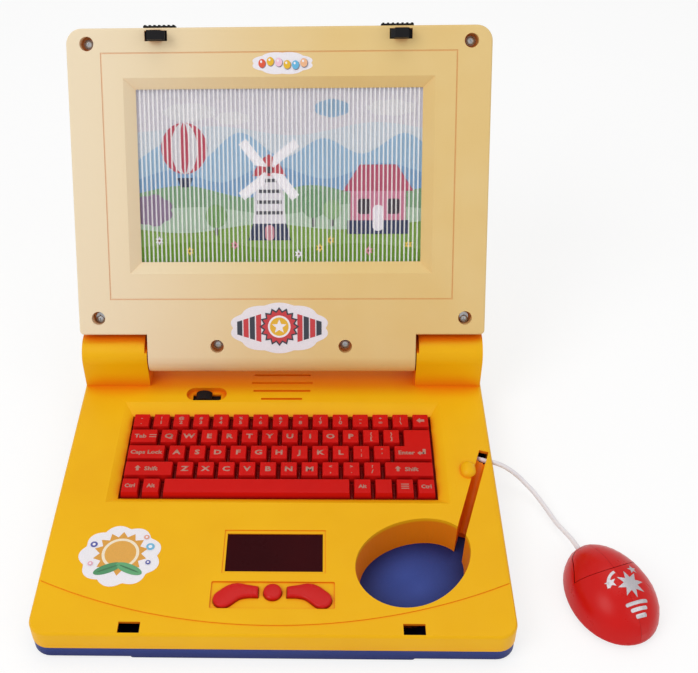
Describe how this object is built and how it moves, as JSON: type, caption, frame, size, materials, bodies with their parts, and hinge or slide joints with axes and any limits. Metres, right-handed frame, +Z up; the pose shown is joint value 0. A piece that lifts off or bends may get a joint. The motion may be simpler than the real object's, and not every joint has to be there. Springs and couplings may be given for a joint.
{
  "type": "toy laptop computer",
  "caption": "Toy laptop with hinged lid, ribbed picture screen, latches, press-down key panel, three buttons, slide switch and a corded egg-shaped mouse with a tray.",
  "frame": {"origin": "middle of the underside, on the surface that the toy stands on", "axes": "+X to the right of the person using it, +Y to the rear hinge, +Z up"},
  "size_m": [0.3544, 0.3198, 0.2382],
  "materials": {
    "yellow_abs": "satin moulded",
    "blue_abs": "satin moulded",
    "cream_abs": "satin moulded",
    "red_abs": "glossy moulded",
    "black_plastic": "matt moulded",
    "screw_steel": "zinc plated",
    "battery_case": "printed sleeve",
    "magnet": "dark",
    "silicone": "moulded rubber",
    "circuit_board": "solder mask",
    "display_tint": "dark red clear",
    "lamp_resin": "tinted resin",
    "clear_styrene": "clear ribbed",
    "picture_print": "printed card",
    "backing_styrene": "plain",
    "cord_vinyl": "smooth vinyl"
  },
  "bodies": {
    "base": {"base_top_shell": "yellow_abs", "base_bottom_shell": "blue_abs", "base_screws": "screw_steel", "battery_door": "blue_abs", "battery_door_screw": "screw_steel", "batteries": "battery_case", "battery_contacts": "screw_steel", "key_mat": "silicone", "key_board": "circuit_board", "board_screws": "screw_steel", "sound_chip": "black_plastic", "display_lens": "display_tint", "display_board": "circuit_board", "display_leds": "lamp_resin", "button_mat": "silicone", "speaker_basket": "screw_steel", "speaker_cone": "black_plastic", "speaker_magnet": "magnet", "switch_body": "black_plastic", "hinge_pin_left": "screw_steel", "hinge_pin_right": "screw_steel", "mouse_cord": "cord_vinyl", "cord_clamp": "black_plastic"},
    "lid": {"lid_bezel": "cream_abs", "lid_back": "cream_abs", "lid_screws": "screw_steel", "screen_lens": "clear_styrene", "picture_card": "picture_print", "card_backing": "backing_styrene", "card_backing_screws": "screw_steel"},
    "mouse": {"mouse_base": "red_abs", "mouse_shell_left": "red_abs", "mouse_shell_right": "red_abs", "mouse_board": "circuit_board", "mouse_switches": "black_plastic", "mouse_feet": "black_plastic", "mouse_screws": "screw_steel"},
    "key_panel": {"key_panel": "red_abs"},
    "left_button": {"left_button": "red_abs"},
    "center_button": {"center_button": "red_abs"},
    "right_button": {"right_button": "red_abs"},
    "switch_knob": {"switch_knob": "black_plastic"},
    "latch_left": {"latch_left": "black_plastic"},
    "latch_right": {"latch_right": "black_plastic"},
    "mouse_button_left": {"mouse_button_left": "red_abs"},
    "mouse_button_right": {"mouse_button_right": "red_abs"}
  },
  "joints": [
    {"name": "lid_hinge", "type": "hinge", "parent": "base", "child": "lid", "pos_m": [0, 0.09715, 0.0422], "axis": [1, 0, 0], "range_deg": [0, 118.7]},
    {"name": "latch_left_slide", "type": "slide", "parent": "lid", "child": "latch_left", "axis": [-1, 0, 0], "range_m": [0, 0.0025]},
    {"name": "latch_right_slide", "type": "slide", "parent": "lid", "child": "latch_right", "axis": [1, 0, 0], "range_m": [0, 0.0025]},
    {"name": "key_press", "type": "slide", "parent": "base", "child": "key_panel", "axis": [0, 0, -1], "range_m": [0, 0.001], "stiffness_N_per_m": 2000, "springref_m": -0.002},
    {"name": "left_button_press", "type": "slide", "parent": "base", "child": "left_button", "axis": [0, 0, -1], "range_m": [0, 0.0012], "stiffness_N_per_m": 800, "springref_m": -0.0008},
    {"name": "center_button_press", "type": "slide", "parent": "base", "child": "center_button", "axis": [0, 0, -1], "range_m": [0, 0.0012], "stiffness_N_per_m": 800, "springref_m": -0.0008},
    {"name": "right_button_press", "type": "slide", "parent": "base", "child": "right_button", "axis": [0, 0, -1], "range_m": [0, 0.0012], "stiffness_N_per_m": 800, "springref_m": -0.0008},
    {"name": "power_switch_slide", "type": "slide", "parent": "base", "child": "switch_knob", "axis": [1, 0, 0], "range_m": [0, 0.004]},
    {"name": "mouse_move", "type": "slide", "parent": "base", "child": "mouse", "axis": [-0.3469, 0.9379, 0], "range_m": [-0.008, 0.015], "deforming": ["mouse_cord"]},
    {"name": "mouse_left_click", "type": "hinge", "parent": "mouse", "child": "mouse_button_left", "pos_m": [0.19241, -0.07152, 0.015], "axis": [-0.9379, -0.3469, 0], "range_deg": [0, 2.5], "stiffness_Nm_per_rad": 0.5, "springref_deg": -1.15},
    {"name": "mouse_right_click", "type": "hinge", "parent": "mouse", "child": "mouse_button_right", "pos_m": [0.19241, -0.07152, 0.015], "axis": [-0.9379, -0.3469, 0], "range_deg": [0, 2.5], "stiffness_Nm_per_rad": 0.5, "springref_deg": -1.15}
  ]
}
